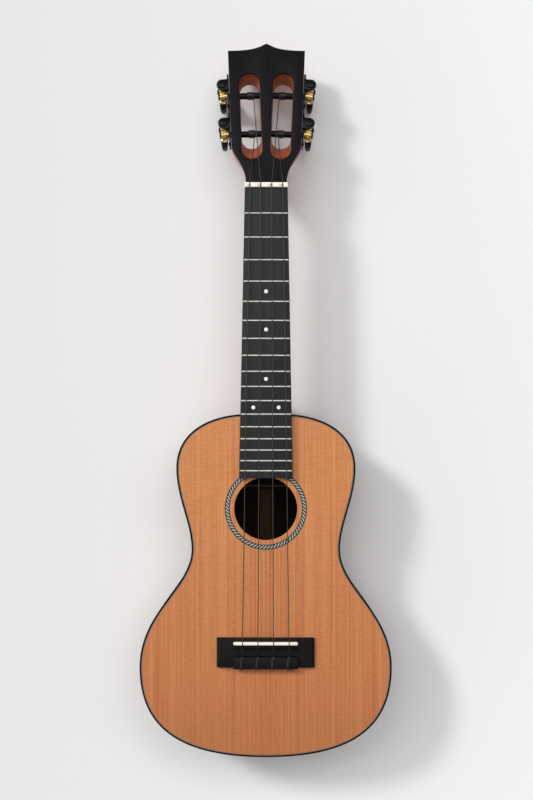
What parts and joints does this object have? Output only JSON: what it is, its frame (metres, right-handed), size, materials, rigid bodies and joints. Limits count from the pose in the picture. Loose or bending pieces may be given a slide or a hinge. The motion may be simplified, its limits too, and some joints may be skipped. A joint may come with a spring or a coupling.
{
  "type": "concert ukulele",
  "caption": "Concert ukulele with a slotted head: hollow wooden body, neck and fingerboard, tied strings, and worm-geared tuners whose buttons turn the string posts.",
  "frame": {"origin": "middle of the outer face of the back, on which the instrument lies level", "axes": "+X across the body toward the side of the highest string, +Y along the neck from the tail to the head, +Z out of the soundboard"},
  "size_m": [0.2144, 0.6143, 0.0834],
  "materials": {
    "cedar": "satin cedar",
    "mahogany": "satin mahogany",
    "spruce": "bare spruce",
    "ebony": "oiled dark hardwood",
    "binding": "polished black",
    "marquetry": "black and white rope inlay",
    "bone": "polished ivory colour",
    "nylon": "dark string polymer",
    "black_metal": "satin black",
    "brass": "bright gold",
    "steel": "machined",
    "button_resin": "polished black"
  },
  "bodies": {
    "instrument": {"soundboard": "cedar", "rosette": "marquetry", "back": "mahogany", "side_left": "mahogany", "side_right": "mahogany", "binding_top": "binding", "binding_back": "binding", "top_lining_left": "spruce", "top_lining_right": "spruce", "back_lining_left": "spruce", "back_lining_right": "spruce", "neck_block": "mahogany", "tail_block": "mahogany", "bridge_plate": "spruce", "upper_top_brace": "spruce", "lower_top_brace": "spruce", "fan_brace_left": "spruce", "fan_brace_middle": "spruce", "fan_brace_right": "spruce", "back_centre_strip": "spruce", "back_brace_upper": "spruce", "back_brace_waist": "spruce", "back_brace_lower": "spruce", "neck": "mahogany", "heel_cap": "ebony", "neck_bolt": "steel", "neck_insert": "brass", "fingerboard": "ebony", "headplate": "ebony", "nut": "bone", "bridge": "ebony", "saddle": "bone", "string_g": "nylon", "string_c": "nylon", "string_e": "nylon", "string_a": "nylon", "tuner_plate_g": "black_metal", "tuner_plate_c": "black_metal", "tuner_plate_e": "black_metal", "tuner_plate_a": "black_metal"},
    "tuner_g_button": {"worm_g": "steel", "button_g": "button_resin"},
    "tuner_c_button": {"worm_c": "steel", "button_c": "button_resin"},
    "tuner_e_button": {"worm_e": "steel", "button_e": "button_resin"},
    "tuner_a_button": {"worm_a": "steel", "button_a": "button_resin"},
    "tuner_g_post": {"post_g": "black_metal", "gear_g": "brass", "wrap_g": "nylon"},
    "tuner_c_post": {"post_c": "black_metal", "gear_c": "brass", "wrap_c": "nylon"},
    "tuner_e_post": {"post_e": "black_metal", "gear_e": "brass", "wrap_e": "nylon"},
    "tuner_a_post": {"post_a": "black_metal", "gear_a": "brass", "wrap_a": "nylon"}
  },
  "joints": [
    {"name": "button_g_turn", "type": "hinge", "parent": "instrument", "child": "tuner_g_button", "pos_m": [-0.03676, 0.3949, 0.04238], "axis": [0, 0.2247, 0.9744], "continuous": true},
    {"name": "post_g_turn", "type": "hinge", "parent": "instrument", "child": "tuner_g_post", "pos_m": [-0.03024, 0.38761, 0.04407], "axis": [0.9991, 0.0415, -0.0096], "continuous": true},
    {"name": "button_c_turn", "type": "hinge", "parent": "instrument", "child": "tuner_c_button", "pos_m": [-0.03828, 0.42966, 0.03437], "axis": [0, 0.2247, 0.9744], "continuous": true},
    {"name": "post_c_turn", "type": "hinge", "parent": "instrument", "child": "tuner_c_post", "pos_m": [-0.03176, 0.42237, 0.03605], "axis": [0.9991, 0.0415, -0.0096], "continuous": true},
    {"name": "button_e_turn", "type": "hinge", "parent": "instrument", "child": "tuner_e_button", "pos_m": [0.03828, 0.42966, 0.03437], "axis": [0, 0.2247, 0.9744], "continuous": true},
    {"name": "post_e_turn", "type": "hinge", "parent": "instrument", "child": "tuner_e_post", "pos_m": [0.03176, 0.42237, 0.03605], "axis": [0.9991, -0.0415, 0.0096], "continuous": true},
    {"name": "button_a_turn", "type": "hinge", "parent": "instrument", "child": "tuner_a_button", "pos_m": [0.03676, 0.3949, 0.04238], "axis": [0, 0.2247, 0.9744], "continuous": true},
    {"name": "post_a_turn", "type": "hinge", "parent": "instrument", "child": "tuner_a_post", "pos_m": [0.03024, 0.38761, 0.04407], "axis": [0.9991, -0.0415, 0.0096], "continuous": true}
  ],
  "couplings": [
    {"joint": "post_g_turn", "follows": "button_g_turn", "ratio": 0.071429},
    {"joint": "post_c_turn", "follows": "button_c_turn", "ratio": 0.071429},
    {"joint": "post_e_turn", "follows": "button_e_turn", "ratio": -0.071429},
    {"joint": "post_a_turn", "follows": "button_a_turn", "ratio": -0.071429}
  ]
}
